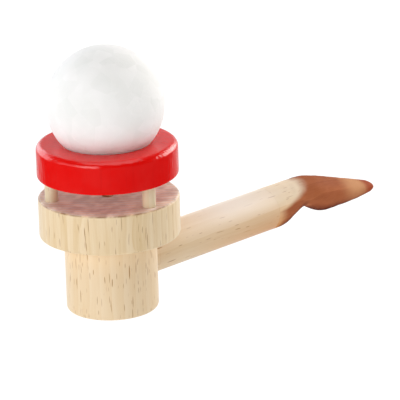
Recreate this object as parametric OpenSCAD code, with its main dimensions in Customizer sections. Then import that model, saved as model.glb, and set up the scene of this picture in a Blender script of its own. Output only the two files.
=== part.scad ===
// Floating ball pipe toy. Blowing in the mouthpiece sends a jet of air up through the bowl,
// and the jet lifts the ball off the ring on top.
// The origin is the middle of the barrel's base. +Z is up and the stem runs along +X.

/* [Ball] */
// Diameter of the foam ball
ball_d = 35; // [32:0.5:40]
// Clearance between the ball and its seat in the ring
seat_gap = 0.25; // [0.1:0.05:0.4]

/* [Seat ring] */
// Outer diameter of the ring
ring_d = 42; // [41:0.5:50]
// Thickness of the ring
ring_h = 10; // [8.5:0.5:14]
// Diameter of the ring's middle hole
ring_hole_d = 25; // [18:0.5:26]
// Depth of the dished seat, below the ring's top face
seat_depth = 1.2; // [0.6:0.1:2]
// Radius of the ring's outer top edge
ring_top_round = 2; // [0.5:0.25:3]
// Radius of the ring's lower edges
ring_low_round = 0.8; // [0.3:0.1:1.2]

/* [Posts] */
// Diameter of the dowel posts
post_d = 4; // [3:0.1:4.4]
// Radius of the circle that the posts stand on
post_circle_r = 17.2; // [16.6:0.1:17.6]
// Angle from the stem to the first post
post_turn = 30; // [0:5:60]
// Depth that each post is sunk in the flange and in the ring
post_sunk = 5; // [3:0.25:6]
// Height of the air gap between the flange and the ring
air_gap = 6.4; // [5:0.2:15]
// Bevel on the posts' ends
post_bevel = 0.4; // [0.2:0.1:0.8]

/* [Flange] */
// Outer diameter of the flange
flange_d = 42; // [41:0.5:50]
// Thickness of the flange
flange_h = 12; // [11:0.5:16]
// Radius of the flange's edges
flange_round = 0.8; // [0.3:0.1:1.5]
// Diameter of the jet hole through the flange and the barrel
jet_d = 3.5; // [3:0.1:4.4]
// Distance that the jet hole is drilled off the middle
jet_off = 1.3; // [0:0.1:2]
// Angle from the stem to the side that the jet hole is off to
jet_off_turn = 212; // [0:1:359]

/* [Barrel] */
// Outer diameter of the barrel
barrel_d = 27.6; // [25:0.2:32]
// Height of the barrel, up to the flange
barrel_h = 23; // [21:0.5:30]
// Radius of the barrel's lower edge
barrel_round = 1; // [0.4:0.1:2]
// Diameter of the spigot on top of the barrel
spigot_d = 16; // [12:0.5:20]
// Height of the spigot on top of the barrel
spigot_h = 5; // [3:0.5:5.5]

/* [Stem] */
// Diameter of the stem
stem_d = 13.3; // [11:0.1:14]
// Depth of the step where the stem is turned down to fit the barrel's socket
neck_step = 0.25; // [0.2:0.05:1.5]
// Height of the stem's axis above the barrel's base
stem_z = 13; // [9:0.25:13.5]
// Distance from the barrel's axis to the joint with the mouthpiece
stem_reach = 66; // [45:1:90]
// Diameter of the air bore in the stem
stem_bore_d = 4.5; // [3:0.1:5]
// Diameter of the mouthpiece's tenon
tenon_d = 8; // [6.5:0.1:9]
// Length of the mouthpiece's tenon
tenon_l = 9; // [5:0.5:15]

/* [Mouthpiece] */
// Length of the mouthpiece from its joint to its tip
mouth_l = 49.5; // [44:0.5:60]
// Diameter of the straight air bore in the mouthpiece
mouth_bore_d = 2.8; // [2.6:0.1:3.2]
// Diameter of the slanting air bore that opens in the tip
tip_bore_d = 2.4; // [2:0.1:2.5]
// Distance from the joint to the middle of the notch below
notch_at = 14.5; // [12:0.5:18]
// Length of the notch below
notch_l = 22; // [16:0.5:24]
// Depth of the notch below
notch_depth = 3.9; // [2:0.1:4]
// Distance from the joint to the start of the sloping top
slope_at = 19.5; // [16:0.5:24]
// Height that the sloping top loses up to the tip
slope_drop = 9.7; // [8:0.1:9.8]
// Height that the underside gains up to the tip
tip_rise = 0.8; // [0:0.1:0.9]
// How strongly the sides draw in where a section is carved off the stem's axis
pinch = 2; // [1.8:0.1:2.2]
// Width of the tip
tip_w = 6; // [5.9:0.1:10]
// Length of the tip's round nose
nose_l = 3; // [2:0.25:5]

/* [Fits] */
// Gap all round a glued dowel, tenon or spigot
glue_gap = 0.05; // [0.02:0.01:0.1]
// Room left at the blind end of a glued hole, and at the stem's shoulder
end_room = 0.2; // [0.1:0.05:0.4]

/* [Hidden] */
$fn = 96;
// Overshoot of a cut past the face that it opens
cut = 1;
// Radius of an edge that is only broken with sandpaper
EDGE_BREAK = 0.2;
// Straight steps in the quarter circle of a rounded edge
CORNER_STEPS = 8;
post_count = 3;
ball_r = ball_d / 2;
stem_r = stem_d / 2;
flange_top = barrel_h + flange_h;
ring_bottom = flange_top + air_gap;
ring_top = ring_bottom + ring_h;
// The ball's centre is the centre of the sphere that dishes the seat
seat_r = ball_r + seat_gap;
ball_z = ring_top - seat_depth + sqrt(seat_r ^ 2 - (ring_hole_d / 2) ^ 2);
neck_d = stem_d - 2 * neck_step;
// The stem's inner end and the socket's blind end leave an air chamber as wide as the jet hole
jet_x = jet_off * cos(jet_off_turn);
chamber_start = jet_x - jet_d / 2;
chamber_end = jet_x + jet_d / 2;

// The mouthpiece is a row of oval sections. Each section lies at a distance s from the joint,
// and its heights are counted from the stem's axis.
MOUTH_SIDES = 32;
MOUTH_RINGS = 26;
NOSE_RINGS = 6;
// The nose's first and last sections, as shares of its quarter turn
NOSE_FIRST = 0.25;
NOSE_LAST = 0.97;
// Stretch over which the level top bends into the slope
SLOPE_SOFT = 3;
// Stretch in which the underside rises to the tip
RISE_L = 17.5;
// Distance from the start of the slope at which the bore bends down to the tip
BEND_AFTER = 4;

function clamp01(t) = max(0, min(1, t));
// A ramp that starts softly at x = 0
function soft_ramp(x, soft) = (x + sqrt(x ^ 2 + soft ^ 2)) / 2;
function mouth_top(s) =
    stem_r - slope_drop * (soft_ramp(s - slope_at, SLOPE_SOFT) - soft_ramp(-slope_at, SLOPE_SOFT))
    / (mouth_l - slope_at);
function notch(s) =
    let (u = (s - notch_at) / (notch_l / 2)) abs(u) < 1 ? notch_depth * (1 + cos(180 * u)) / 2 : 0;
function mouth_bottom(s) = -stem_r + notch(s) + tip_rise * clamp01((s - mouth_l + RISE_L) / RISE_L) ^ 2;
function mouth_mid(s) = (mouth_top(s) + mouth_bottom(s)) / 2;
// The sides stay within the round of the stem, out of which the mouthpiece is carved
function mouth_half_w(s) = sqrt(max((tip_w / 2) ^ 2, stem_r ^ 2 - pinch * mouth_mid(s) ^ 2));
// Share of the full section that is left at s, which closes in a round nose
function nose_share(s) = sqrt(1 - clamp01((s - mouth_l + nose_l) / nose_l) ^ 2);
function mouth_section(s) =
    let (share = nose_share(s), half_h = (mouth_top(s) - mouth_bottom(s)) / 2 * share)
    [for (i = [0 : MOUTH_SIDES - 1])
        let (a = 360 * i / MOUTH_SIDES)
        [s, mouth_half_w(s) * share * cos(a), mouth_mid(s) + half_h * sin(a)]];

// A quarter circle of radius r round a corner of a profile, between the angles from and to
function corner(x, y, r, from, to) =
    [for (i = [0 : CORNER_STEPS])
        let (a = from + (to - from) * i / CORNER_STEPS)
        [x + r * cos(a), y + r * sin(a)]];

// A turned disc with a round lower edge and a round upper edge
module turned_disc(d, h, low_round, top_round) {
    rotate_extrude()
        polygon(concat([[0, 0]],
            corner(d / 2 - low_round, low_round, low_round, -90, 0),
            corner(d / 2 - top_round, h - top_round, top_round, 0, 90),
            [[0, h]]));
}

// Puts a copy of the child at the foot of post number i
module at_post(i) {
    rotate(post_turn + 360 / post_count * i)
        translate([post_circle_r, 0, 0])
            children();
}

// Puts a copy of the child on the axis of the jet hole
module at_jet() {
    rotate(jet_off_turn)
        translate([jet_off, 0, 0])
            children();
}

// A dowel along +X from x = from to x = to, on the stem's axis
module along_stem(d, from, to) {
    translate([from, 0, stem_z])
        rotate([0, 90, 0])
            cylinder(d = d, h = to - from);
}

module barrel() {
    color("burlywood")
        difference() {
            union() {
                turned_disc(barrel_d, barrel_h, barrel_round, EDGE_BREAK);
                cylinder(d = spigot_d, h = barrel_h + spigot_h);
            }
            at_jet()
                translate([0, 0, stem_z])
                    cylinder(d = jet_d, h = flange_top);
            along_stem(neck_d + 2 * glue_gap, chamber_start, barrel_d);
        }
}

module flange() {
    color("wheat")
        difference() {
            translate([0, 0, barrel_h])
                turned_disc(flange_d, flange_h, flange_round, flange_round);
            translate([0, 0, barrel_h - cut])
                cylinder(d = spigot_d + 2 * glue_gap, h = spigot_h + end_room + cut);
            at_jet()
                translate([0, 0, barrel_h])
                    cylinder(d = jet_d, h = flange_h + cut);
            for (i = [0 : post_count - 1])
                at_post(i)
                    translate([0, 0, flange_top - post_sunk])
                        cylinder(d = post_d + 2 * glue_gap, h = post_sunk + cut);
        }
}

module post(i) {
    post_l = 2 * post_sunk + air_gap;
    color("moccasin")
        at_post(i)
            translate([0, 0, flange_top - post_sunk])
                rotate_extrude()
                    polygon([
                        [0, 0],
                        [post_d / 2 - post_bevel, 0],
                        [post_d / 2, post_bevel],
                        [post_d / 2, post_l - post_bevel],
                        [post_d / 2 - post_bevel, post_l],
                        [0, post_l]
                    ]);
}

module seat_ring() {
    color("red")
        difference() {
            translate([0, 0, ring_bottom])
                turned_disc(ring_d, ring_h, ring_low_round, ring_top_round);
            translate([0, 0, ring_bottom - cut])
                cylinder(d = ring_hole_d, h = ring_h + 2 * cut);
            translate([0, 0, ball_z])
                sphere(r = seat_r);
            // bevel round the lower end of the hole
            translate([0, 0, ring_bottom - cut])
                cylinder(r1 = ring_hole_d / 2 + ring_low_round + cut, r2 = ring_hole_d / 2,
                    h = ring_low_round + cut);
            for (i = [0 : post_count - 1])
                at_post(i)
                    translate([0, 0, ring_bottom - cut])
                        cylinder(d = post_d + 2 * glue_gap, h = post_sunk + end_room + cut);
        }
}

module stem() {
    shoulder_x = barrel_d / 2 + end_room;
    color("burlywood")
        difference() {
            union() {
                along_stem(neck_d, chamber_end, shoulder_x + cut);
                along_stem(stem_d, shoulder_x, stem_reach);
            }
            along_stem(stem_bore_d, chamber_start, stem_reach);
            along_stem(tenon_d + 2 * glue_gap, stem_reach - tenon_l - end_room, stem_reach + cut);
        }
}

// The mouthpiece's outer shape, from its joint at x = 0, with the stem's axis at z = 0
module mouth_shape() {
    sections = concat(
        [for (i = [0 : MOUTH_RINGS]) (mouth_l - nose_l) * i / MOUTH_RINGS],
        [for (i = [1 : NOSE_RINGS])
            let (a = 90 * (NOSE_FIRST + (NOSE_LAST - NOSE_FIRST) * (i - 1) / (NOSE_RINGS - 1)))
            mouth_l - nose_l + nose_l * sin(a)]
    );
    count = len(sections);
    points = concat(
        [for (s = sections) each mouth_section(s)],
        [[0, 0, 0], [mouth_l, 0, mouth_mid(mouth_l)]]
    );
    start = count * MOUTH_SIDES;
    finish = start + 1;
    last = (count - 1) * MOUTH_SIDES;
    skin = [for (k = [0 : count - 2], i = [0 : MOUTH_SIDES - 1])
        let (
            a = k * MOUTH_SIDES + i,
            b = k * MOUTH_SIDES + (i + 1) % MOUTH_SIDES,
            c = a + MOUTH_SIDES,
            d = b + MOUTH_SIDES
        )
        each [[a, d, b], [a, c, d]]];
    caps = [for (i = [0 : MOUTH_SIDES - 1])
        let (j = (i + 1) % MOUTH_SIDES)
        each [[start, i, j], [finish, last + j, last + i]]];
    polyhedron(points, concat(skin, caps));
}

module mouthpiece() {
    bend = slope_at + BEND_AFTER;
    tip_z = mouth_mid(mouth_l - nose_l);
    bend_angle = atan2(-tip_z, mouth_l - nose_l - bend);
    color("sienna")
        difference() {
            union() {
                translate([stem_reach, 0, stem_z])
                    mouth_shape();
                along_stem(tenon_d, stem_reach - tenon_l, stem_reach + cut);
            }
            along_stem(mouth_bore_d, stem_reach - tenon_l - cut, stem_reach + bend);
            translate([stem_reach + bend, 0, stem_z])
                rotate([0, 90 + bend_angle, 0])
                    translate([0, 0, -tip_bore_d / 2])
                        cylinder(d = tip_bore_d, h = mouth_l);
        }
}

module ball() {
    color("white")
        translate([0, 0, ball_z])
            sphere(r = ball_r);
}

barrel();
flange();
post(0);  // post_1
post(1);  // post_2
post(2);  // post_3
seat_ring();
stem();
mouthpiece();
ball();
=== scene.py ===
import bpy
import numpy as np
from mathutils import Matrix


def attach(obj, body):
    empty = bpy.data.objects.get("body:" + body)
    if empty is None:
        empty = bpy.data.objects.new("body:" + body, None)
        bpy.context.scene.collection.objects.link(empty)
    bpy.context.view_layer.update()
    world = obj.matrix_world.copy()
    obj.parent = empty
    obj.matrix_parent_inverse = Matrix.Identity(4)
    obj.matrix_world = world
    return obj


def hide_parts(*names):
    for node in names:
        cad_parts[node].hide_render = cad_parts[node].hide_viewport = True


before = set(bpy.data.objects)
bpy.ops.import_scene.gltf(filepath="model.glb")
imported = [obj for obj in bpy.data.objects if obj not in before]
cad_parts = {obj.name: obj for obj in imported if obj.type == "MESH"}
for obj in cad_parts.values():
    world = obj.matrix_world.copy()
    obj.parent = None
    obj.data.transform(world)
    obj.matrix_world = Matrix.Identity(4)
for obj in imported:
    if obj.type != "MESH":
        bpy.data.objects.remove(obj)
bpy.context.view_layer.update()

# Barrel
# The lower half of the pipe's bowl: a turned rubberwood cylinder that the toy stands on, with
# a spigot on top for the flange. The stem is glued in a socket drilled in its side, and the
# jet hole comes up from that socket.

MM = 0.001
BARREL_D, BARREL_H, BARREL_ROUND, BARREL_TOP_ROUND = 27.6, 23.0, 1.0, 0.3
SPIGOT_D, SPIGOT_H, SPIGOT_BEVEL = 16.0, 5.0, 0.4
SOCKET_D, SOCKET_START, STEM_Z = 12.9, -2.85, 13.0
JET_D = 3.5
JET_XY = np.array([-1.10, -0.69])
# a drill runs on this far, clear of the piece, and a turned face starts this far off its axis
PAST_SIDE, PAST_TOP, EYE_R = 20, 40, 0.6
UP, ALONG = (0, 0, 1), (1, 0, 0)


def arc(r, z, radius, start, end, parts=8):
    """A quarter round of a profile: (r, z) plus the radius turned from start to end degrees."""
    a = np.radians(np.linspace(start, end, parts + 1))
    return np.stack([r + radius * np.cos(a), z + radius * np.sin(a)], axis=1)


def steps(*corners, pitch=1.0):
    """A profile through the corners, with a point at least every pitch millimetres between."""
    out = [np.asarray(corners[:1], float)]
    for a, b in zip(corners[:-1], corners[1:]):
        n = max(1, int(np.ceil(np.hypot(b[0] - a[0], b[1] - a[1]) / pitch)))
        share = np.arange(1, n + 1)[:, None]
        out.append(np.asarray(a) + (np.asarray(b) - np.asarray(a)) * share / n)
    return np.concatenate(out)


def smooth(piece, angle=32):
    """Smooth shading, with edges sharper than the angle kept."""
    piece.data.polygons.foreach_set("use_smooth", np.ones(len(piece.data.polygons), bool))
    piece.data.set_sharp_from_angle(angle=np.radians(angle))


def put_mesh(name, grid, loop=False):
    """An object from grid[i, j] = a point in mm. Row i is a closed ring, rows are joined by
    quads, and the first and last rows are closed by fans, or joined to each other in a loop."""
    rows, cols = grid.shape[:2]
    i, j = np.meshgrid(np.arange(rows if loop else rows - 1), np.arange(cols), indexing="ij")
    i2, j2 = (i + 1) % rows, (j + 1) % cols
    quads = np.stack([i * cols + j, i * cols + j2, i2 * cols + j2, i2 * cols + j], -1)
    quads = quads.reshape(-1, 4)
    points = grid.reshape(-1, 3)
    faces = quads.tolist()
    if not loop:
        first_middle, last_row = len(points), (rows - 1) * cols
        points = np.vstack([points, grid[0].mean(0), grid[-1].mean(0)])
        a, b = np.arange(cols), (np.arange(cols) + 1) % cols
        faces += np.stack([b, a, np.full(cols, first_middle)], 1).tolist()
        faces += np.stack([last_row + a, last_row + b, np.full(cols, first_middle + 1)],
                          1).tolist()
    # the signed volume of the quads says which way the faces point
    corner = points[quads]
    flow = np.cross(corner[:, 1] - corner[:, 0], corner[:, 2] - corner[:, 0])
    flow += np.cross(corner[:, 2] - corner[:, 0], corner[:, 3] - corner[:, 0])
    if (flow * (corner.mean(1) - points.mean(0))).sum() < 0:
        faces = [face[::-1] for face in faces]
    mesh = bpy.data.meshes.new(name)
    mesh.from_pydata((points * MM).tolist(), [], faces)
    piece = bpy.data.objects.new(name, mesh)
    bpy.context.collection.objects.link(piece)
    smooth(piece)
    return piece


def turned(name, profile, foot=(0, 0, 0), axis=UP, around=160, wobble=0.0, seed=0, loop=False):
    """A profile of (radius, height) carried round an axis: foot + height * axis + radius *
    (cos t * side + sin t * other side). Low waves take up to twice the wobble off the radius,
    as a tool in an old lathe with play in its bearings does, and fade within 4 mm of the axis."""
    axis = np.asarray(axis, float) / np.linalg.norm(axis)
    side = np.cross([0, 1, 0] if abs(axis[1]) < 0.9 else [1, 0, 0], axis)
    side /= np.linalg.norm(side)
    other = np.cross(axis, side)
    t = np.linspace(0, 2 * np.pi, around, endpoint=False)
    r, h = np.asarray(profile)[:, 0, None], np.asarray(profile)[:, 1, None]
    rng = np.random.default_rng(seed)
    waves = sum(rng.uniform(0.3, 1) * np.sin(crests * t + rng.uniform(0, 6.28)
                                             + h * rng.uniform(-0.25, 0.25))
                for crests in (2, 3, 5, 7))
    r = r - wobble * (1 + waves / 4) * np.minimum(1, r / 4)
    ring = np.cos(t)[None, :, None] * side + np.sin(t)[None, :, None] * other
    grid = np.asarray(foot) + h[..., None] * axis + r[..., None] * ring
    return put_mesh(name, grid, loop)


def drill(d, start, end, foot=(0, 0, 0), axis=UP, around=72):
    """A cutter: a plain rod from start to end along the axis."""
    return turned("drill", [(d / 2, start), (d / 2, end)], foot, axis, around)


def bore(piece, *cutters):
    """Drills the piece with cutter objects, which are used up."""
    for cutter in cutters:
        hole = piece.modifiers.new("hole", "BOOLEAN")
        hole.object, hole.operation, hole.solver = cutter, "DIFFERENCE", "EXACT"
    evaluated = piece.evaluated_get(bpy.context.evaluated_depsgraph_get())
    drilled = bpy.data.meshes.new_from_object(evaluated)
    piece.modifiers.clear()
    piece.data = drilled
    for cutter in cutters:
        bpy.data.objects.remove(cutter)
    smooth(piece)


def linear(code):
    """An sRGB hex colour as the linear values that the shaders work in, with an alpha of 1."""
    c = np.array([int(code[k:k + 2], 16) for k in (1, 3, 5)]) / 255
    return (*np.where(c <= 0.04045, c / 12.92, ((c + 0.055) / 1.055) ** 2.4), 1.0)


def add(tree, kind, sockets=None, **settings):
    """Adds a node, with its settings, and links or sets its inputs."""
    made = tree.nodes.new(kind)
    for key, value in settings.items():
        setattr(made, key, value)
    for key, value in (sockets or {}).items():
        if isinstance(value, bpy.types.NodeSocket):
            tree.links.new(value, made.inputs[key])
        else:
            made.inputs[key].default_value = value
    return made


def new_material(name):
    """An empty material, with its node tree and its output node."""
    made = bpy.data.materials.new(name)
    made.use_nodes = True
    made.node_tree.nodes.clear()
    return made, made.node_tree, made.node_tree.nodes.new("ShaderNodeOutputMaterial")


# a Mix node's colour sockets, in and out, and the distance from crest to crest of a Wave
# texture of Scale 1
MIX_A, MIX_B, MIXED = 6, 7, 2
WAVE_PITCH = 0.314


def rubberwood(name, pale, tan, pore, pores, pith, ring, shift, along="Z", bands=0.3,
               streak=0.2, sheen=0.5, gloss=1.0, roughness=0.5, ends=None, stain=None):
    """Rubberwood, sanded and thinly waxed, which gives it a dull, silky shine. Growth rings
    round a pith that lies off the piece give soft bands, fibres give fine streaks along the
    grain, and the large pores are cut lengthwise into short brown dashes, and across into
    dots. Each group of pores is (pitch across, pitch along, half width, half length, share,
    darkness), in millimetres. Ends and stain are functions that colour the end grain under
    the pores, and the whole piece over them, and may paint light and shade onto it too."""
    material, tree, out = new_material(name)
    place = add(tree, "ShaderNodeTexCoord").outputs["Object"]
    # the grain's own frame: millimetres, with the grain along Z
    turn = (0, 0, 0) if along == "Z" else (0, np.radians(-90), 0)
    grain = add(tree, "ShaderNodeMapping", {"Vector": place, "Location": shift, "Rotation": turn,
                                            "Scale": (1 / MM, 1 / MM, 1 / MM)}).outputs[0]
    # fibres wander by a millimetre or so over some 10 mm, so the grain isn't dead straight
    slow = add(tree, "ShaderNodeMapping", {"Vector": grain, "Scale": (0.10, 0.10, 0.045)})
    wander = add(tree, "ShaderNodeTexNoise", {"Vector": slow.outputs[0], "Scale": 1.0,
                                              "Detail": 2.0}).outputs["Color"]
    grain = add(tree, "ShaderNodeVectorMath", {0: wander, 1: (2.4, 2.4, 0.0), 2: grain},
                operation="MULTIPLY_ADD").outputs[0]

    # growth rings: a saw wave of the distance from the pith
    about_pith = add(tree, "ShaderNodeMapping", {"Vector": grain, "Location": (*pith, 0),
                                                 "Scale": (1, 1, 0.04)})
    rings = add(tree, "ShaderNodeTexWave", {
        "Vector": about_pith.outputs[0], "Scale": WAVE_PITCH / ring, "Distortion": 1.2,
        "Detail": 3.0, "Detail Scale": 1.4, "Detail Roughness": 0.6},
        wave_type="RINGS", rings_direction="Z", wave_profile="SAW").outputs["Fac"]
    # fibres: noise drawn out along the grain, some 0.5 mm wide
    drawn_out = add(tree, "ShaderNodeMapping", {"Vector": grain, "Scale": (1, 1, 0.028)})
    fibres = add(tree, "ShaderNodeTexNoise", {"Vector": drawn_out.outputs[0], "Scale": 0.95,
                                              "Detail": 4.0, "Roughness": 0.62}).outputs["Fac"]
    # patches some 6 mm wide and 20 mm long
    broad = add(tree, "ShaderNodeMapping", {"Vector": grain, "Scale": (0.16, 0.16, 0.05)})
    patches = add(tree, "ShaderNodeTexNoise", {"Vector": broad.outputs[0], "Scale": 1.0,
                                               "Detail": 2.0}).outputs["Fac"]
    tone = add(tree, "ShaderNodeMapRange", {"Value": fibres, "From Min": 0.3, "From Max": 0.7,
                                            "To Min": 0.25 - streak,
                                            "To Max": 0.25 + streak}).outputs[0]
    tone = add(tree, "ShaderNodeMath", {0: rings, 1: bands, 2: tone},
               operation="MULTIPLY_ADD").outputs[0]
    tone = add(tree, "ShaderNodeMath", {0: patches, 1: 0.5, 2: tone}, operation="MULTIPLY_ADD",
               use_clamp=True).outputs[0]
    colour = add(tree, "ShaderNodeMix", {"Factor": tone, MIX_A: linear(pale),
                                         MIX_B: linear(tan)}, data_type="RGBA").outputs[MIXED]
    if ends:
        colour, pores_open = ends(tree, place, colour, rings, patches)

    # pores: one needle in some of the cells of a Voronoi pattern, about the cell's own point
    mask = None
    for across, length, half_width, half_length, share, darkness in pores:
        scaled = add(tree, "ShaderNodeMapping", {
            "Vector": grain, "Scale": (1 / across, 1 / across, 1 / length)}).outputs[0]
        cell = add(tree, "ShaderNodeTexVoronoi", {"Vector": scaled, "Scale": 1.0})
        off = add(tree, "ShaderNodeVectorMath", {0: scaled, 1: cell.outputs["Position"]},
                  operation="SUBTRACT").outputs[0]
        off = add(tree, "ShaderNodeVectorMath", {
            0: off, 1: (across / half_width, across / half_width, length / half_length)},
            operation="MULTIPLY").outputs[0]
        away = add(tree, "ShaderNodeVectorMath", {0: off}, operation="LENGTH").outputs["Value"]
        pick = add(tree, "ShaderNodeSeparateColor", {0: cell.outputs["Color"]})
        # a cell's size factor runs from 0 to 1 over the share of cells that hold a pore
        size = add(tree, "ShaderNodeMapRange", {"Value": pick.outputs[0],
                                                "From Min": 1 - share}).outputs[0]
        size = add(tree, "ShaderNodeMath", {0: size, 1: 0.5}, operation="POWER").outputs[0]
        inside = add(tree, "ShaderNodeMath", {0: size, 1: away}, operation="SUBTRACT").outputs[0]
        depth = add(tree, "ShaderNodeMapRange", {"Value": inside, "From Max": 0.25,
                                                 "To Max": darkness}).outputs[0]
        faint = add(tree, "ShaderNodeMapRange", {"Value": pick.outputs[1],
                                                 "To Min": 0.35}).outputs[0]
        depth = add(tree, "ShaderNodeMath", {0: depth, 1: faint},
                    operation="MULTIPLY").outputs[0]
        mask = depth if mask is None else add(tree, "ShaderNodeMath", {0: mask, 1: depth},
                                              operation="MAXIMUM").outputs[0]
    if ends:
        mask = add(tree, "ShaderNodeMath", {0: mask, 1: pores_open},
                   operation="MULTIPLY").outputs[0]
    colour = add(tree, "ShaderNodeMix", {"Factor": mask, MIX_A: colour, MIX_B: linear(pore)},
                 data_type="RGBA").outputs[MIXED]
    if stain:
        colour = stain(tree, place, colour, tone)

    # open pores and raised fibres, a few hundredths of a millimetre deep
    relief = add(tree, "ShaderNodeMath", {0: mask, 1: -0.35, 2: fibres},
                 operation="MULTIPLY_ADD").outputs[0]
    bump = add(tree, "ShaderNodeBump", {"Height": relief, "Strength": 0.35,
                                        "Distance": 0.00006})
    shader = add(tree, "ShaderNodeBsdfPrincipled", {
        "Base Color": colour, "Roughness": roughness, "IOR": 1.5, "Specular IOR Level": gloss,
        "Sheen Weight": sheen, "Sheen Roughness": 0.35, "Normal": bump.outputs[0]})
    tree.links.new(shader.outputs[0], out.inputs[0])
    return material


def finish_piece(piece, material, body, node=None):
    """Gives a piece its material and its body, and hides the CAD node that it stands for."""
    piece.data.materials.clear()
    piece.data.materials.append(material)
    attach(piece, body)
    if node:
        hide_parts(node)


# here and in the other profiles, points up to 1.2 mm beside a round edge keep it clean in shade
half, spigot_r, spigot_top = BARREL_D / 2, SPIGOT_D / 2, BARREL_H + SPIGOT_H
barrel = turned("turned_barrel", np.concatenate([
    steps((EYE_R, 0), (half - BARREL_ROUND, 0), pitch=2),
    arc(half - BARREL_ROUND, BARREL_ROUND, BARREL_ROUND, -82, 0),
    steps((half, BARREL_ROUND + 0.6), (half, BARREL_H - 0.9)),
    arc(half - BARREL_TOP_ROUND, BARREL_H - BARREL_TOP_ROUND, BARREL_TOP_ROUND, 0, 90, 4),
    steps((half - 1.2, BARREL_H), (spigot_r, BARREL_H), (spigot_r, spigot_top - SPIGOT_BEVEL),
          (spigot_r - SPIGOT_BEVEL, spigot_top), (EYE_R, spigot_top), pitch=2),
]), around=192, wobble=0.035, seed=3)
bore(barrel,
     drill(SOCKET_D, SOCKET_START, PAST_SIDE, (0, 0, STEM_Z), ALONG),
     drill(JET_D, STEM_Z, PAST_TOP, (*JET_XY, 0)))
# the side is long grain, so its pores show as upright dashes
barrel_wood = rubberwood(
    "Waxed rubberwood, barrel", pale="#FBE5C4", tan="#F0D1A2", pore="#B47A1E",
    pores=((0.8, 7.0, 0.18, 2.6, 0.9, 0.95), (0.6, 4.2, 0.16, 1.5, 0.9, 0.85)),
    pith=(34, -30), ring=3.4, shift=(3, 5, 2))
finish_piece(barrel, barrel_wood, "pipe", "barrel")

# Flange
# The bowl's wide upper half: a rubberwood disc turned from another blank, so its grain is
# closer. It sits on the barrel's spigot, carries the three dowels, and the jet hole, drilled a
# little off the middle, opens in its top.

FLANGE_D, FLANGE_H, FLANGE_ROUND = 42.0, 12.0, 0.8
FLANGE_TOP = BARREL_H + FLANGE_H
POST_D, POST_SUNK, POST_CIRCLE_R = 4.0, 5.0, 17.2
POST_TURNS = np.radians([30, 150, 270])
POST_FEET = POST_CIRCLE_R * np.stack([np.cos(POST_TURNS), np.sin(POST_TURNS)], axis=1)
# the glue's gap round a joint, and the room left at the bottom of a hole
GAP, ROOM = 0.05, 0.2
DOWEL_HOLE_D = POST_D + 2 * GAP

half, edge = FLANGE_D / 2, FLANGE_D / 2 - FLANGE_ROUND
recess, recess_top = SPIGOT_D / 2 + GAP, BARREL_H + SPIGOT_H + ROOM
flange = turned("turned_flange", np.concatenate([
    steps((EYE_R, recess_top), (recess, recess_top), (recess, BARREL_H),
          (edge - 0.6, BARREL_H), pitch=2),
    arc(edge, BARREL_H + FLANGE_ROUND, FLANGE_ROUND, -90, 0),
    steps((half, BARREL_H + FLANGE_ROUND + 0.6), (half, FLANGE_TOP - FLANGE_ROUND - 0.6)),
    arc(edge, FLANGE_TOP - FLANGE_ROUND, FLANGE_ROUND, 0, 90),
    steps((edge - 0.6, FLANGE_TOP), (EYE_R, FLANGE_TOP), pitch=2),
]), around=224, wobble=0.035, seed=8)
bore(flange, drill(JET_D, BARREL_H, PAST_TOP, (*JET_XY, 0)),
     *(drill(DOWEL_HOLE_D, FLANGE_TOP - POST_SUNK, PAST_TOP, (x, y, 0)) for x, y in POST_FEET))


def end_grain_top_with_painted_light(tree, place, side, rings, patches):
    """The end grain of the top face shows every growth ring and takes up more wax in patches.
    Its colours are painted much paler than the side's, a painted light that stands in for the
    light and sheen on the top in the ring's shade. A dark line runs along its edge. Gives the
    colour, and how far the pores are open: wax fills most of them here."""
    # the face lies at 0.0350 m, and its look comes in between these heights, just under it
    start, full = 0.0349 - 0.0001, 0.0349
    height = add(tree, "ShaderNodeSeparateXYZ", {0: place}).outputs[2]
    on_top = add(tree, "ShaderNodeMapRange", {"Value": height, "From Min": start,
                                              "From Max": full}).outputs[0]
    lines = add(tree, "ShaderNodeMath", {0: rings, 1: 4.0}, operation="POWER").outputs[0]
    blotch = add(tree, "ShaderNodeMath", {0: patches, 1: 0.3}, operation="SUBTRACT").outputs[0]
    lines = add(tree, "ShaderNodeMath", {0: lines, 1: 1.1, 2: blotch},
                operation="MULTIPLY_ADD", use_clamp=True).outputs[0]
    # painted light: these top colours are far paler than the side's, standing in for light on
    # the shaded top
    lines = add(tree, "ShaderNodeMix", {"Factor": lines, MIX_A: linear("#FFFBEE"),
                                        MIX_B: linear("#FCDDB4")},
                data_type="RGBA").outputs[MIXED]
    colour = add(tree, "ShaderNodeMix", {"Factor": on_top, MIX_A: side, MIX_B: lines},
                 data_type="RGBA").outputs[MIXED]
    # the dark line fades over 0.36 mm above and below that start, and is broken in places
    away = add(tree, "ShaderNodeMath", {0: height, 1: start}, operation="SUBTRACT").outputs[0]
    away = add(tree, "ShaderNodeMath", {0: away}, operation="ABSOLUTE").outputs[0]
    dark_edge_line = add(tree, "ShaderNodeMapRange", {"Value": away, "From Min": 0.00036,
                                             "From Max": 0.0}).outputs[0]
    broken = add(tree, "ShaderNodeTexNoise", {"Vector": place, "Scale": 260.0,
                                              "Detail": 2.0}).outputs["Fac"]
    broken = add(tree, "ShaderNodeMapRange", {"Value": broken, "From Min": 0.35,
                                              "From Max": 0.6}).outputs[0]
    dark_edge_line = add(tree, "ShaderNodeMath", {0: dark_edge_line, 1: broken}, operation="MULTIPLY").outputs[0]
    colour = add(tree, "ShaderNodeMix", {"Factor": dark_edge_line, MIX_A: colour,
                                         MIX_B: linear("#94602C")},
                 data_type="RGBA").outputs[MIXED]
    pores_open = add(tree, "ShaderNodeMath", {0: on_top, 1: -0.8, 2: 1.0},
                     operation="MULTIPLY_ADD").outputs[0]
    return colour, pores_open


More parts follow.
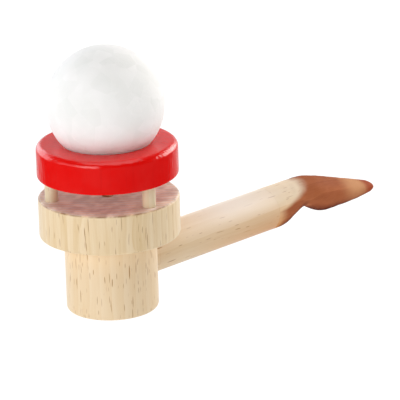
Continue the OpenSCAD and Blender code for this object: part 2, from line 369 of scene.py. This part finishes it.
# closer rings and longer pores than the barrel's, with smooth, waxy end grain on top
flange_wood = rubberwood(
    "Waxed rubberwood, flange", pale="#FCE7C6", tan="#E8C996", pore="#A86E20",
    pores=((0.9, 15.0, 0.18, 6.0, 0.9, 0.9), (0.7, 6.0, 0.16, 2.2, 0.9, 0.85)),
    pith=(-60, -52), ring=2.0, bands=0.4, streak=0.3, shift=(11, 2, 7), ends=end_grain_top_with_painted_light)
finish_piece(flange, flange_wood, "pipe", "flange")

# Posts
# Three plain birch dowels, 4 mm thick, glued in blind holes in the flange and in the ring.
# They hold the ring up, so the jet can draw air in under it.

AIR_GAP, POST_BEVEL, POST_EYE_R = 6.4, 0.4, 0.4
RING_BOTTOM = FLANGE_TOP + AIR_GAP

# birch is plainer and a little greyer than rubberwood, with few pores and faint lines
dowel_wood = rubberwood("Birch dowel", pale="#F0E0C2", tan="#E6D0A6", pore="#B8925F",
                        pores=((0.7, 5.0, 0.12, 1.0, 0.3, 0.5),), pith=(9, 6), ring=1.6,
                        shift=(1, 1, 1))
foot, head = FLANGE_TOP - POST_SUNK, RING_BOTTOM + POST_SUNK
post_r = POST_D / 2
for number, (x, y) in enumerate(POST_FEET, 1):
    post = turned(f"dowel_post_{number}", steps(
        (POST_EYE_R, foot), (post_r - POST_BEVEL, foot), (post_r, foot + POST_BEVEL),
        (post_r, head - POST_BEVEL), (post_r - POST_BEVEL, head), (POST_EYE_R, head)),
        (x, y, 0), around=48, wobble=0.012, seed=number)
    finish_piece(post, dowel_wood, "pipe", f"post_{number}")

# Seat ring
# A turned wooden ring with a round upper edge, dipped in thick red lacquer. The inner edge is
# dished to the ball's own radius, so the ball sits in it without rattling.

RING_D, RING_H, RING_HOLE_D = 42.0, 10.0, 25.0
RING_TOP_ROUND, RING_LOW_ROUND = 2.0, 0.8
RING_TOP = RING_BOTTOM + RING_H
BALL_R, SEAT_GAP, SEAT_DEPTH = 17.5, 0.25, 1.2
BALL_Z = RING_TOP - SEAT_DEPTH + np.sqrt((BALL_R + SEAT_GAP) ** 2 - (RING_HOLE_D / 2) ** 2)
# the real ball rests on its seat, so the seat here follows the ball 0.04 mm away
SEAT_R = BALL_R + 0.04

half, hole = RING_D / 2, RING_HOLE_D / 2
top_edge, low_edge = half - RING_TOP_ROUND, half - RING_LOW_ROUND
low_round_z = RING_BOTTOM + RING_LOW_ROUND
# the dish is part of a sphere about the ball's middle, from the hole up to the top face
dish_r = np.linspace(np.sqrt(SEAT_R ** 2 - (BALL_Z - RING_TOP) ** 2), hole, 7)
dish = np.stack([dish_r, BALL_Z - np.sqrt(SEAT_R ** 2 - dish_r ** 2)], axis=1)
ring = turned("lacquered_seat_ring", np.concatenate([
    arc(low_edge, low_round_z, RING_LOW_ROUND, -90, 0),
    steps((half, low_round_z + 0.6), (half, RING_TOP - RING_TOP_ROUND - 0.4)),
    arc(top_edge, RING_TOP - RING_TOP_ROUND, RING_TOP_ROUND, 0, 90, 14),
    steps((top_edge - 0.3, RING_TOP), (dish_r[0] + 0.15, RING_TOP), pitch=0.8),
    dish,
    steps((hole, dish[-1, 1] - 0.5), (hole, low_round_z)),
    steps((hole + RING_LOW_ROUND, RING_BOTTOM), (low_edge - 0.4, RING_BOTTOM)),
]), around=224, wobble=0.04, seed=5, loop=True)
holes_start, holes_end = 30, RING_BOTTOM + POST_SUNK + ROOM
bore(ring, *(drill(DOWEL_HOLE_D, holes_start, holes_end, (x, y, 0)) for x, y in POST_FEET))

# red gloss lacquer that the ring was dipped in: a deep, even red, with sharp highlights that
# the coat's lumps break up
lacquer, tree, out = new_material("Red gloss lacquer on wood")
place = add(tree, "ShaderNodeTexCoord").outputs["Object"]
# the wood's vertical grain shows faintly through the coat, in lines 1 mm wide and finer
upright = add(tree, "ShaderNodeMapping", {"Vector": place, "Scale": (900, 900, 40)})
grain = add(tree, "ShaderNodeTexNoise", {"Vector": upright.outputs[0], "Scale": 1.0,
                                         "Detail": 4.0, "Roughness": 0.6}).outputs["Fac"]
# the coat is uneven over some 6 mm, thinner and brighter in places
coat = add(tree, "ShaderNodeTexNoise", {"Vector": place, "Scale": 160.0,
                                        "Detail": 3.0}).outputs["Fac"]
thin = add(tree, "ShaderNodeMapRange", {"Value": coat, "From Min": 0.4, "From Max": 0.75,
                                        "To Max": 0.45}).outputs[0]
red = add(tree, "ShaderNodeMix", {"Factor": thin, MIX_A: linear("#E60B07"),
                                  MIX_B: linear("#E8160E")}, data_type="RGBA").outputs[MIXED]
fine = add(tree, "ShaderNodeMapRange", {"Value": grain, "From Min": 0.55, "From Max": 0.8,
                                        "To Max": 0.25}).outputs[0]
red = add(tree, "ShaderNodeMix", {"Factor": fine, MIX_A: red, MIX_B: linear("#B90A08")},
          data_type="RGBA").outputs[MIXED]
# growth lines 1.1 mm apart show through on the end grain of the top, where they run across
about_pith = add(tree, "ShaderNodeMapping", {"Vector": place, "Location": (-60, -52, 0),
                                             "Scale": (1 / MM, 1 / MM, 30)})
lines = add(tree, "ShaderNodeTexWave", {
    "Vector": about_pith.outputs[0], "Scale": 0.285, "Distortion": 2.0, "Detail": 2.0,
    "Detail Scale": 0.7}, wave_type="RINGS", rings_direction="Z").outputs["Fac"]
# it dried in lumps some 2 mm wide, on top of the slow swell
lumps = add(tree, "ShaderNodeTexNoise", {"Vector": place, "Scale": 480.0,
                                         "Detail": 2.0}).outputs["Fac"]
swell = add(tree, "ShaderNodeMath", {0: coat, 1: 4.0, 2: lumps},
            operation="MULTIPLY_ADD").outputs[0]
relief = add(tree, "ShaderNodeMath", {0: lines, 1: 0.35, 2: swell},
             operation="MULTIPLY_ADD").outputs[0]
relief = add(tree, "ShaderNodeMath", {0: grain, 1: 0.6, 2: relief},
             operation="MULTIPLY_ADD").outputs[0]
bump = add(tree, "ShaderNodeBump", {"Height": relief, "Strength": 0.7, "Distance": 0.00012})
rough = add(tree, "ShaderNodeMapRange", {"Value": coat, "From Min": 0.3, "From Max": 0.7,
                                         "To Min": 0.12, "To Max": 0.20}).outputs[0]
shader = add(tree, "ShaderNodeBsdfPrincipled", {
    "Base Color": red, "Roughness": rough, "IOR": 1.5, "Specular IOR Level": 0.5,
    "Normal": bump.outputs[0]})
tree.links.new(shader.outputs[0], out.inputs[0])
finish_piece(ring, lacquer, "pipe", "seat_ring")

# Stem
# A rubberwood dowel, bored through for the air. Its end is turned down by a quarter of a
# millimetre and glued in the barrel's socket, and glue and dust fill the step round the joint.

STEM_D, NECK_D, STEM_BORE_D, STEM_REACH = 13.3, 12.8, 4.5, 66.0
NECK_START, NECK_BEVEL, STEM_BEVEL = 0.65, 0.3, 0.06
SHOULDER = BARREL_D / 2 + ROOM
TENON_D, TENON_L = 8.0, 9.0
FILLER_BITE = 0.35

stem_r, neck_r, bore_r = STEM_D / 2, NECK_D / 2, STEM_BORE_D / 2
mortise_r, mortise_end = TENON_D / 2 + GAP, STEM_REACH - TENON_L - ROOM
stem = turned("turned_stem", np.concatenate([
    steps((bore_r, NECK_START), (neck_r - NECK_BEVEL, NECK_START),
          (neck_r, NECK_START + NECK_BEVEL), (neck_r, SHOULDER),
          (stem_r - STEM_BEVEL, SHOULDER), (stem_r, SHOULDER + STEM_BEVEL),
          (stem_r, STEM_REACH)),
    steps((mortise_r, STEM_REACH), (mortise_r, mortise_end), (bore_r, mortise_end),
          (bore_r, NECK_START + 0.5)),
]), (0, 0, STEM_Z), ALONG, wobble=0.02, seed=11, loop=True)


def painted_stem_light_and_shade(tree, place, wood, _tone):
    """A thin, warm tan wash along the stem's underside, which is painted shade. It fades out
    towards the barrel, and upwards to nothing above the middle. The upper side is painted a
    little paler, which is a painted highlight. Each factor changes evenly along x or z."""
    x, _, z = add(tree, "ShaderNodeSeparateXYZ", {0: place}).outputs
    # painted highlight: the upper side is mixed towards near white, between the barrel and the
    # mouthpiece
    above = add(tree, "ShaderNodeMapRange", {"Value": z, "From Min": 0.0141,
                                             "From Max": 0.0190, "To Max": 0.75}).outputs[0]
    near = add(tree, "ShaderNodeMapRange", {"Value": x, "From Min": 0.022,
                                            "From Max": 0.046}).outputs[0]
    far = add(tree, "ShaderNodeMapRange", {"Value": x, "From Min": 0.054, "From Max": 0.072,
                                           "To Min": 1.0, "To Max": 0.4}).outputs[0]
    painted_highlight = add(tree, "ShaderNodeMath", {0: near, 1: above}, operation="MULTIPLY").outputs[0]
    painted_highlight = add(tree, "ShaderNodeMath", {0: painted_highlight, 1: far},
                   operation="MULTIPLY").outputs[0]
    wood = add(tree, "ShaderNodeMix", {"Factor": painted_highlight, MIX_A: wood,
                                       MIX_B: linear("#FFF3E8")},
               data_type="RGBA").outputs[MIXED]
    # painted shade: the underside is mixed towards warm tan, more so towards the mouthpiece
    shade_reach = add(tree, "ShaderNodeMapRange", {"Value": x, "From Min": 0.026,
                                             "From Max": 0.069}).outputs[0]
    under = add(tree, "ShaderNodeMapRange", {"Value": z, "From Min": 0.0165,
                                             "From Max": 0.0085}).outputs[0]
    painted_underside_shade = add(tree, "ShaderNodeMath", {0: shade_reach, 1: under}, operation="MULTIPLY").outputs[0]
    return add(tree, "ShaderNodeMix", {"Factor": painted_underside_shade, MIX_A: wood, MIX_B: linear("#E4A05A")},
               data_type="RGBA").outputs[MIXED]


stem_pores = ((0.9, 8.0, 0.22, 2.6, 0.5, 0.9), (0.7, 4.5, 0.17, 1.2, 0.5, 0.75))
# the grain runs along the stem, and so do the dashes of its pores
stem_wood = rubberwood("Waxed rubberwood, stem", pale="#F7DFC0", tan="#E8C899", pore="#AC7426",
                       pores=stem_pores, along="X", pith=(-24, 38), ring=4.2, shift=(2, 9, 4),
                       stain=painted_stem_light_and_shade)
finish_piece(stem, stem_wood, "pipe", "stem")

# the filler's section, at each turn round the stem: from inside the barrel's side, which lies
# at x = sqrt(barrel radius^2 - y^2), out to the shoulder, a few hundredths off the stem
t = np.linspace(0, 2 * np.pi, 120, endpoint=False)
inner_r, outer_r = neck_r + 0.02, stem_r - 0.03
rows = []
for r, in_barrel in ((inner_r, True), (outer_r, True), (outer_r, False), (inner_r, False)):
    y = r * np.cos(t)
    if in_barrel:
        x = np.sqrt((BARREL_D / 2) ** 2 - y ** 2) - FILLER_BITE
    else:
        x = np.full_like(t, SHOULDER - 0.01)
    rows.append(np.stack([x, y, STEM_Z + r * np.sin(t)], axis=1))
filler = put_mesh("stem_joint_filler", np.array(rows), loop=True)
finish_piece(filler, stem_wood, "pipe")

# Mouthpiece
# A carved beak of the same wood, stained brown towards its tip and set on the stem by a
# tenon. The lips close on its sloping top and on the notch below.

MOUTH_L, TIP_W, PINCH, NOSE_L = 49.5, 6.0, 2.0, 3.0
NOTCH_AT, NOTCH_L, NOTCH_DEPTH = 14.5, 22.0, 3.9
SLOPE_AT, SLOPE_DROP, SLOPE_SOFT = 19.5, 9.7, 3.0
TIP_RISE, RISE_L = 0.8, 17.5
MOUTH_BORE_D, TIP_BORE_D, BEND_AFTER = 2.8, 2.4, 4.0
FACET_SHARE, FACETS_FROM, FACETS_FULL_AFTER = 0.018, 3, 6
TENON_BEVEL = 0.3


def mouth_sections(s):
    """Half width, middle height and half height of the oval section at s mm from the joint:
    the top bends softly into a slope, the notch is a cosine wave cut from below, the sides
    draw in with the root of r^2 - PINCH * middle^2, and a quarter ellipse closes the nose."""
    def ramp(x):
        return (x + np.sqrt(x * x + SLOPE_SOFT ** 2)) / 2
    r = STEM_D / 2
    top = r - SLOPE_DROP * (ramp(s - SLOPE_AT) - ramp(-SLOPE_AT)) / (MOUTH_L - SLOPE_AT)
    u = np.clip((s - NOTCH_AT) / (NOTCH_L / 2), -1, 1)
    low = -r + NOTCH_DEPTH * (1 + np.cos(np.pi * u)) / 2
    low = low + TIP_RISE * np.clip((s - MOUTH_L + RISE_L) / RISE_L, 0, 1) ** 2
    wide = np.sqrt(np.maximum((TIP_W / 2) ** 2, r ** 2 - PINCH * ((top + low) / 2) ** 2))
    share = np.sqrt(1 - np.clip((s - MOUTH_L + NOSE_L) / NOSE_L, 0, 1) ** 2)
    return wide * share, (top + low) / 2, (top - low) / 2 * share


s = np.concatenate([np.linspace(0, MOUTH_L - NOSE_L, 120),
                    MOUTH_L - NOSE_L + NOSE_L * np.sin(np.radians(np.linspace(4, 88, 16)))])
t = np.linspace(0, 2 * np.pi, 128, endpoint=False)
wide, middle, high = (v[:, None] for v in mouth_sections(s))
# the knife leaves shallow, uneven facets, up to 0.2 mm deep, where the wood is carved
rng = np.random.default_rng(21)
facets = sum(rng.uniform(0.4, 1) * np.cos(k * t + rng.uniform(0, 6.28) + m * s[:, None])
             for k, m in ((3, 0.5), (5, -0.9), (7, 1.3), (4, 1.9)))
cut = np.clip((s[:, None] - FACETS_FROM) / FACETS_FULL_AFTER, 0, 1)
carved = 1 - FACET_SHARE * cut * (1 + facets / 4)
body = np.stack(np.broadcast_arrays(STEM_REACH + s[:, None], wide * carved * np.cos(t),
                                    STEM_Z + middle + high * carved * np.sin(t)), axis=-1)
# the tenon in the same rings: (x, radius) from its far end to the carved part
tenon_x, tenon_r = np.array([
    (STEM_REACH - TENON_L, TENON_D / 2 - TENON_BEVEL),
    (STEM_REACH - TENON_L + TENON_BEVEL, TENON_D / 2), (STEM_REACH - 4, TENON_D / 2),
    (STEM_REACH, TENON_D / 2), (STEM_REACH, 5.5)]).T[:, :, None]
tenon = np.stack(np.broadcast_arrays(tenon_x, tenon_r * np.cos(t), STEM_Z + tenon_r * np.sin(t)),
                 axis=-1)
mouthpiece = put_mesh("carved_mouthpiece", np.concatenate([tenon, body]))
# the air way bends down where the top starts to slope, and comes out in the middle of the tip
bend = SLOPE_AT + BEND_AFTER
tip_drop = mouth_sections(np.array([MOUTH_L - NOSE_L]))[1][0]
bore(mouthpiece,
     drill(MOUTH_BORE_D, -TENON_L - 1, bend, (STEM_REACH, 0, STEM_Z), ALONG, 48),
     drill(TIP_BORE_D, -TIP_BORE_D / 2, MOUTH_L, (STEM_REACH + bend, 0, STEM_Z),
           (MOUTH_L - NOSE_L - bend, 0, tip_drop), 48))


def brown_stain_and_painted_light(tree, place, wood, tone):
    """A brown stain whose soft edge curves from 68 mm out at the underside to 80 mm out on top:
    x + 0.336 * (19.5 - z)^2 = 80 in millimetres. It is painted darker along the lower rim and in
    a band on the top's far side, which is painted shade, painted lighter just behind the tip,
    which is a painted highlight, and redder at the tip itself."""
    x, y, z = add(tree, "ShaderNodeSeparateXYZ", {0: place}).outputs
    ragged = add(tree, "ShaderNodeTexNoise", {"Vector": place, "Scale": 210.0,
                                              "Detail": 3.0}).outputs["Fac"]
    drop = add(tree, "ShaderNodeMath", {0: 0.0195, 1: z}, operation="SUBTRACT").outputs[0]
    drop = add(tree, "ShaderNodeMath", {0: drop, 1: drop}, operation="MULTIPLY").outputs[0]
    # the curve ends 6.1 mm down, at 68 mm, and the edge runs straight on from there
    drop = add(tree, "ShaderNodeMath", {0: drop, 1: 0.0000372}, operation="MINIMUM").outputs[0]
    edge = add(tree, "ShaderNodeMath", {0: drop, 1: 336.0, 2: x},
               operation="MULTIPLY_ADD").outputs[0]
    edge = add(tree, "ShaderNodeMath", {0: ragged, 1: 0.004, 2: edge},
               operation="MULTIPLY_ADD").outputs[0]
    stained = add(tree, "ShaderNodeMapRange", {"Value": edge, "From Min": 0.0780,
                                               "From Max": 0.0858},
                  interpolation_type="SMOOTHERSTEP").outputs[0]
    brown = add(tree, "ShaderNodeMix", {"Factor": tone, MIX_A: linear("#BF7349"),
                                        MIX_B: linear("#9A5333")},
                data_type="RGBA").outputs[MIXED]
    # painted shade on the belly past the notch's middle, below a line that falls towards the tip
    belly = add(tree, "ShaderNodeMath", {0: x, 1: 0.09, 2: z},
                operation="MULTIPLY_ADD").outputs[0]
    belly = add(tree, "ShaderNodeMath", {0: ragged, 1: 0.003, 2: belly},
                operation="MULTIPLY_ADD").outputs[0]
    belly = add(tree, "ShaderNodeMapRange", {"Value": belly, "From Min": 0.0202,
                                             "From Max": 0.0172, "To Max": 0.95}).outputs[0]
    past_notch = add(tree, "ShaderNodeMapRange", {"Value": x, "From Min": 0.0805,
                                                  "From Max": 0.0850}).outputs[0]
    belly = add(tree, "ShaderNodeMath", {0: belly, 1: past_notch},
                operation="MULTIPLY").outputs[0]
    # and before that middle, where the underside climbs by 0.355 mm in each millimetre
    climb = add(tree, "ShaderNodeMath", {0: x, 1: -0.355, 2: z},
                operation="MULTIPLY_ADD").outputs[0]
    climb = add(tree, "ShaderNodeMath", {0: ragged, 1: 0.003, 2: climb},
                operation="MULTIPLY_ADD").outputs[0]
    climb = add(tree, "ShaderNodeMapRange", {"Value": climb, "From Min": -0.0125,
                                             "From Max": -0.0158, "To Max": 0.9}).outputs[0]
    before_notch = add(tree, "ShaderNodeMapRange", {"Value": x, "From Min": 0.0815,
                                                    "From Max": 0.0790}).outputs[0]
    climb = add(tree, "ShaderNodeMath", {0: climb, 1: before_notch},
                operation="MULTIPLY").outputs[0]
    lower_rim_painted_shade = add(tree, "ShaderNodeMath", {0: belly, 1: climb}, operation="MAXIMUM").outputs[0]
    brown = add(tree, "ShaderNodeMix", {"Factor": lower_rim_painted_shade, MIX_A: brown,
                                        MIX_B: linear("#5E2214")},
                data_type="RGBA").outputs[MIXED]
    # painted shade: a dark band just beyond the middle, on the side away from the camera
    top_edge_painted_shade = add(tree, "ShaderNodeMapRange", {"Value": y, "From Min": 0.0008,
                                             "From Max": 0.0021, "To Max": 0.8}).outputs[0]
    past_ridge = add(tree, "ShaderNodeMapRange", {"Value": y, "From Min": 0.0052,
                                                  "From Max": 0.0034}).outputs[0]
    top_edge_painted_shade = add(tree, "ShaderNodeMath", {0: top_edge_painted_shade, 1: past_ridge},
                operation="MULTIPLY").outputs[0]
    brown = add(tree, "ShaderNodeMix", {"Factor": top_edge_painted_shade, MIX_A: brown,
                                        MIX_B: linear("#662414")},
                data_type="RGBA").outputs[MIXED]
    # a painted highlight, which fades out 10 mm to both sides of its middle, and 6 mm up and
    # down
    painted_highlight_spot = add(tree, "ShaderNodeMapping", {"Vector": place,
                                           "Location": (-0.1045, 0.0035, -0.02125),
                                           "Scale": (1.0, 1.0, 1.7)}).outputs[0]
    painted_highlight_spot = add(tree, "ShaderNodeVectorMath", {0: painted_highlight_spot}, operation="LENGTH").outputs["Value"]
    painted_highlight_spot = add(tree, "ShaderNodeMapRange", {"Value": painted_highlight_spot, "From Min": 0.0105,
                                            "From Max": 0.0015},
               interpolation_type="SMOOTHSTEP").outputs[0]
    brown = add(tree, "ShaderNodeMix", {"Factor": painted_highlight_spot, MIX_A: brown, MIX_B: linear("#CC9266")},
                data_type="RGBA").outputs[MIXED]
    tip = add(tree, "ShaderNodeMapRange", {"Value": x, "From Min": 0.1080, "From Max": 0.1105,
                                           "To Max": 0.8}).outputs[0]
    brown = add(tree, "ShaderNodeMix", {"Factor": tip, MIX_A: brown, MIX_B: linear("#A04424")},
                data_type="RGBA").outputs[MIXED]
    wood = painted_stem_light_and_shade(tree, place, wood, tone)
    return add(tree, "ShaderNodeMix", {"Factor": stained, MIX_A: wood, MIX_B: brown},
               data_type="RGBA").outputs[MIXED]


# the same wood, stained and not waxed, so it is matt where the stem is silky; its bare wood is
# painted paler and less yellow than the stem's, a painted sheen that matches the stem's look
mouth_wood = rubberwood("Brown-stained rubberwood", pale="#F5E4C9", tan="#EACDA4",
                        pore="#AC7426", pores=stem_pores, along="X", pith=(-24, 38), ring=4.2,
                        shift=(2, 9, 4), sheen=0.0, gloss=0.05, roughness=0.65,
                        stain=brown_stain_and_painted_light)
finish_piece(mouthpiece, mouth_wood, "pipe", "mouthpiece")

# Ball
# A 35 mm ball of moulded expanded polystyrene. The beads are pressed flat against each other,
# so faint polygons some 3 mm wide, with shallow seams, cover it.

BEADS, BEAD_SHAKE = 420, 0.05
SEAM_DEPTH, SEAM_W, DIMPLE, DIMPLE_W = 0.045, 0.22, 0.03, 1.4

polar = np.radians(np.linspace(0, 180, 190)[1:-1])[:, None]
t = np.linspace(0, 2 * np.pi, 380, endpoint=False)[None, :]
normal = np.stack(np.broadcast_arrays(np.sin(polar) * np.cos(t), np.sin(polar) * np.sin(t),
                                      -np.cos(polar)), -1)
rng = np.random.default_rng(35)
# bead centres: a golden-angle spiral over the ball, shaken so that the beads differ
k = np.arange(BEADS) + 0.5
up, spin = 1 - 2 * k / BEADS, np.pi * (1 + 5 ** 0.5) * k
level = np.sqrt(1 - up ** 2)
beads = np.stack([level * np.cos(spin), level * np.sin(spin), up], axis=1)
beads += rng.normal(0, BEAD_SHAKE, beads.shape)
beads /= np.linalg.norm(beads, axis=1, keepdims=True)
# the seam lies where the two nearest beads are equally far, and each bead has its own dimple
arcs = np.arccos(np.clip(normal.reshape(-1, 3) @ beads.T, -1, 1)) * BALL_R
nearest = np.partition(arcs, 1, axis=1)[:, :2]
bead_of = arcs.argmin(axis=1)
seam = np.exp(-((nearest[:, 1] - nearest[:, 0]) / SEAM_W) ** 2)
deep = DIMPLE * rng.uniform(0, 1, BEADS)[bead_of]
sunk = SEAM_DEPTH * seam + deep * np.exp(-(nearest[:, 0] / DIMPLE_W) ** 2)
radius = (BALL_R - sunk).reshape(normal.shape[:2])
ball = put_mesh("foam_ball", radius[..., None] * normal + np.array([0, 0, BALL_Z]))

# white expanded polystyrene: light creeps through the foam and keeps its shade pale, and its
# pitted skin has next to no shine
foam, tree, out = new_material("White expanded polystyrene")
place = add(tree, "ShaderNodeTexCoord").outputs["Object"]
# some beads let more light through than others, in cells of about 4 mm
cells = add(tree, "ShaderNodeTexVoronoi", {"Vector": place, "Scale": 230.0})
shade = add(tree, "ShaderNodeSeparateColor", {0: cells.outputs["Color"]}).outputs[0]
smudge = add(tree, "ShaderNodeTexNoise", {"Vector": place, "Scale": 95.0,
                                          "Detail": 2.0}).outputs["Fac"]
shade = add(tree, "ShaderNodeMath", {0: shade, 1: 0.35, 2: smudge},
            operation="MULTIPLY_ADD").outputs[0]
shade = add(tree, "ShaderNodeMapRange", {"Value": shade, "From Min": 0.45,
                                         "From Max": 0.95}).outputs[0]
white = add(tree, "ShaderNodeMix", {"Factor": shade, MIX_A: linear("#F3F2F0"),
                                    MIX_B: linear("#EAEAE7")}, data_type="RGBA").outputs[MIXED]
pits = add(tree, "ShaderNodeTexNoise", {"Vector": place, "Scale": 1500.0,
                                        "Detail": 2.0}).outputs["Fac"]
bump = add(tree, "ShaderNodeBump", {"Height": pits, "Strength": 0.25, "Distance": 0.0001})
shader = add(tree, "ShaderNodeBsdfPrincipled", {
    "Base Color": white, "Roughness": 0.6, "IOR": 1.35, "Specular IOR Level": 0.1,
    "Subsurface Weight": 0.9, "Subsurface Radius": (1.0, 1.0, 1.0), "Subsurface Scale": 0.014,
    "Normal": bump.outputs[0]})
tree.links.new(shader.outputs[0], out.inputs[0])
finish_piece(ball, foam, "ball", "ball")

# Studio
# A table of white acrylic lit from below, wide, low light panels on both sides behind the
# toy, two smaller ones before it on the camera's left and one above. A long lens looks from
# 0.88 m away and 18.6 degrees above the table.

# the fitted camera's axes and its place in metres, then its axes laid flat for placing lights
LOOK = np.array([0.66594119, 0.67437682, -0.31879389])
RIGHT = np.array([0.70467024, -0.70891182, -0.02761897])
SKY = np.array([0.2446246, 0.20624973, 0.94730685])
EYE = np.array([-0.57134289, -0.61686103, 0.31499381])
FLAT_LOOK, FLAT_RIGHT = np.array([0.7026, 0.7115, 0.0]), np.array([0.7115, -0.7026, 0.0])
AIM = np.array([0.01, 0, 0.04])

camera = bpy.data.objects.new("camera", bpy.data.cameras.new("camera"))
bpy.context.collection.objects.link(camera)
camera.data.sensor_width, camera.data.lens = 36.0, 270.0
camera.data.clip_start, camera.data.clip_end = 0.05, 20.0
pose = np.eye(4)
pose[:3, 0], pose[:3, 1], pose[:3, 2], pose[:3, 3] = RIGHT, SKY, -LOOK, EYE
camera.matrix_world = Matrix(pose.tolist())
bpy.context.scene.camera = camera


def soft_box(name, towards, distance, width, height, power, colour="#FFFFFF"):
    """A light panel, in metres and watts, turned to the toy. Towards is (back, right, up) as
    the camera sees it, from the toy."""
    way = towards[0] * FLAT_LOOK + towards[1] * FLAT_RIGHT + np.array([0, 0, towards[2]])
    way = way / np.linalg.norm(way)
    light = bpy.data.lights.new(name, "AREA")
    light.shape, light.size, light.size_y = "RECTANGLE", width, height
    light.energy, light.color = power, linear(colour)[:3]
    box = bpy.data.objects.new(name, light)
    side = np.cross([0, 0, 1], way)
    side /= np.linalg.norm(side)
    pose = np.eye(4)
    pose[:3, 0], pose[:3, 1], pose[:3, 2] = side, np.cross(way, side), way
    pose[:3, 3] = way * distance + AIM
    box.matrix_world = Matrix(pose.tolist())
    bpy.context.collection.objects.link(box)


soft_box("back_left_box", (0.72, -0.72, 0.30), 0.9, 0.95, 0.55, 3.5, "#F3F7FF")
soft_box("back_right_box", (0.62, 0.78, 0.35), 0.9, 0.80, 0.50, 6.2, "#FFFBF7")
soft_box("key_box", (-0.35, -0.85, 0.30), 1.1, 0.60, 0.60, 1.5, "#F3F7FF")
soft_box("front_box", (-0.82, -0.50, 0.26), 1.1, 0.60, 0.60, 4.6)
soft_box("top_box", (-0.20, 0.10, 0.95), 0.9, 0.90, 0.90, 4.5)

# the room: a pale wall behind the toy, up to some 30 degrees, a nearly dark one behind the
# camera, and a dark ceiling. Below the table's level, where only reflections look, the table
# behind the toy is bright and the table before it is dark.
WALL_BACK, WALL_FRONT, TABLE_BACK, TABLE_FRONT, CEILING = 0.54, 0.02, 0.9, 0.0, 0.15
world = bpy.context.scene.world or bpy.data.worlds.new("studio")
bpy.context.scene.world = world
world.use_nodes = True
tree = world.node_tree
tree.nodes.clear()
around = add(tree, "ShaderNodeTexCoord").outputs["Generated"]
rise = add(tree, "ShaderNodeSeparateXYZ", {0: around}).outputs[2]
behind = add(tree, "ShaderNodeVectorMath", {0: around, 1: FLAT_LOOK.tolist()},
             operation="DOT_PRODUCT").outputs["Value"]
walls = add(tree, "ShaderNodeMapRange", {"Value": behind, "From Min": -0.3, "From Max": 0.4,
                                         "To Min": WALL_FRONT, "To Max": WALL_BACK}).outputs[0]
dim = add(tree, "ShaderNodeMapRange", {"Value": rise, "From Min": 0.42, "From Max": 0.60,
                                       "To Min": 1.0, "To Max": CEILING}).outputs[0]
walls = add(tree, "ShaderNodeMath", {0: walls, 1: dim}, operation="MULTIPLY").outputs[0]
table = add(tree, "ShaderNodeMapRange", {"Value": behind, "From Min": 0.5, "From Max": 0.95,
                                         "To Min": TABLE_FRONT,
                                         "To Max": TABLE_BACK}).outputs[0]
over = add(tree, "ShaderNodeMapRange", {"Value": rise, "From Min": -0.02,
                                        "From Max": 0.02}).outputs[0]
# a Mix node's plain numbers go in at sockets 2 and 3
brightness = add(tree, "ShaderNodeMix", {"Factor": over, 2: table, 3: walls}).outputs[0]
room = add(tree, "ShaderNodeBackground", {"Color": (1, 1, 1, 1), "Strength": brightness})
add(tree, "ShaderNodeOutputWorld", {0: room.outputs[0]})

# the table's top lies 0.02 mm under the toy's base, so that the two don't share a plane
TABLE_HALF, TABLE_LOW, TABLE_TOP = 3000.0, -5.0, -0.02
floor = put_mesh("studio_floor", np.array([
    [(x * TABLE_HALF, y * TABLE_HALF, z) for x, y in ((-1, -1), (1, -1), (1, 1), (-1, 1))]
    for z in (TABLE_LOW, TABLE_TOP)]))
# a shadowless table: white acrylic lit from below, so that shadows all but vanish
acrylic, tree, out = new_material("Backlit white acrylic")
place = add(tree, "ShaderNodeTexCoord").outputs["Object"]
fleck = add(tree, "ShaderNodeTexNoise", {"Vector": place, "Scale": 6.0}).outputs["Fac"]
milky = add(tree, "ShaderNodeMix", {"Factor": fleck, MIX_A: linear("#6C6C6C"),
                                    MIX_B: linear("#666666")}, data_type="RGBA").outputs[MIXED]
shader = add(tree, "ShaderNodeBsdfPrincipled", {
    "Base Color": milky, "Roughness": 0.9, "Specular IOR Level": 0.0,
    "Emission Color": (1, 1, 1, 1), "Emission Strength": 0.97})
tree.links.new(shader.outputs[0], out.inputs[0])
floor.data.materials.append(acrylic)
acrylic.cycles.emission_sampling = "NONE"
floor.visible_glossy = False

bpy.context.scene.view_settings.view_transform = "Standard"
bpy.context.scene.view_settings.look = "None"
